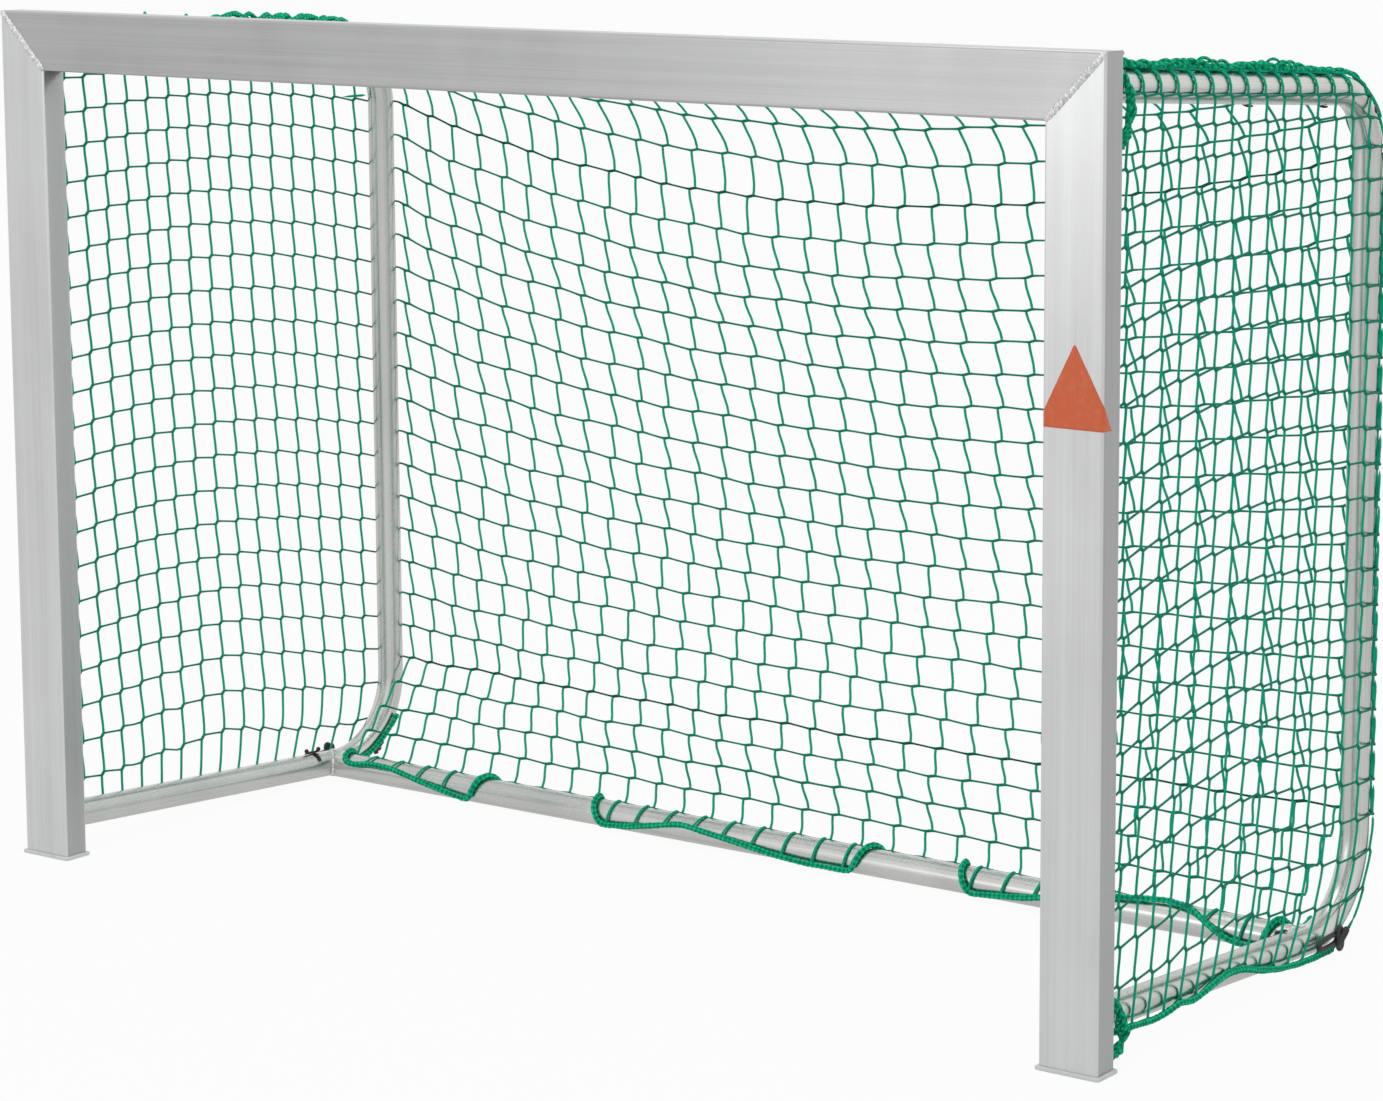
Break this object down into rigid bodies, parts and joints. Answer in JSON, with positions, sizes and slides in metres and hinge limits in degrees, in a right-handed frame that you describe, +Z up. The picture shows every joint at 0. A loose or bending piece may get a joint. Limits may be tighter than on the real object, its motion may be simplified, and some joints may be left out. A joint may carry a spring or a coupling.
{
  "type": "soccer goal",
  "caption": "Small welded aluminium training goal with bent side frames, a rear ground tube and a knotless square-mesh net laced on with rope.",
  "frame": {"origin": "on the floor, below the middle of the whole goal's width and depth", "axes": "+X from the left post to the right post seen from the front, +Y from the mouth to the back net, +Z up"},
  "size_m": [1.768, 0.7447, 1.18],
  "materials": {
    "mouth_metal": "mill finish, drawn lines",
    "tube_metal": "mill finish, satin",
    "weld_metal": "rippled weld bead",
    "cap_plastic": "white moulded",
    "net_cord": "green knotless cord",
    "border_rope": "green braid",
    "hook_plastic": "black moulded"
  },
  "bodies": {
    "root": {"post_left": "mouth_metal", "post_right": "mouth_metal", "crossbar": "mouth_metal", "side_tube_left": "tube_metal", "side_tube_right": "tube_metal", "arm_socket_left": "tube_metal", "arm_socket_right": "tube_metal", "ground_tube": "tube_metal", "corner_weld_left": "weld_metal", "corner_weld_right": "weld_metal", "arm_weld_left": "weld_metal", "arm_weld_right": "weld_metal", "foot_cap_left": "cap_plastic", "foot_cap_right": "cap_plastic", "net_top": "net_cord", "net_fold": "net_cord", "net_back": "net_cord", "net_skirt": "net_cord", "net_left": "net_cord", "net_right": "net_cord", "mouth_rope": "border_rope", "foot_rope": "border_rope", "arm_rope_left": "border_rope", "arm_rope_right": "border_rope", "crossbar_hook_1": "hook_plastic", "crossbar_hook_2": "hook_plastic", "crossbar_hook_3": "hook_plastic", "crossbar_hook_4": "hook_plastic", "crossbar_hook_5": "hook_plastic", "post_hook_left_1": "hook_plastic", "post_hook_left_2": "hook_plastic", "post_hook_left_3": "hook_plastic", "post_hook_right_1": "hook_plastic", "post_hook_right_2": "hook_plastic", "post_hook_right_3": "hook_plastic", "top_clip_left_1": "hook_plastic", "top_clip_left_2": "hook_plastic", "top_clip_right_1": "hook_plastic", "top_clip_right_2": "hook_plastic", "arm_clip_left": "hook_plastic", "arm_clip_right": "hook_plastic", "bend_clip_left": "hook_plastic", "bend_clip_right": "hook_plastic"}
  },
  "joints": []
}
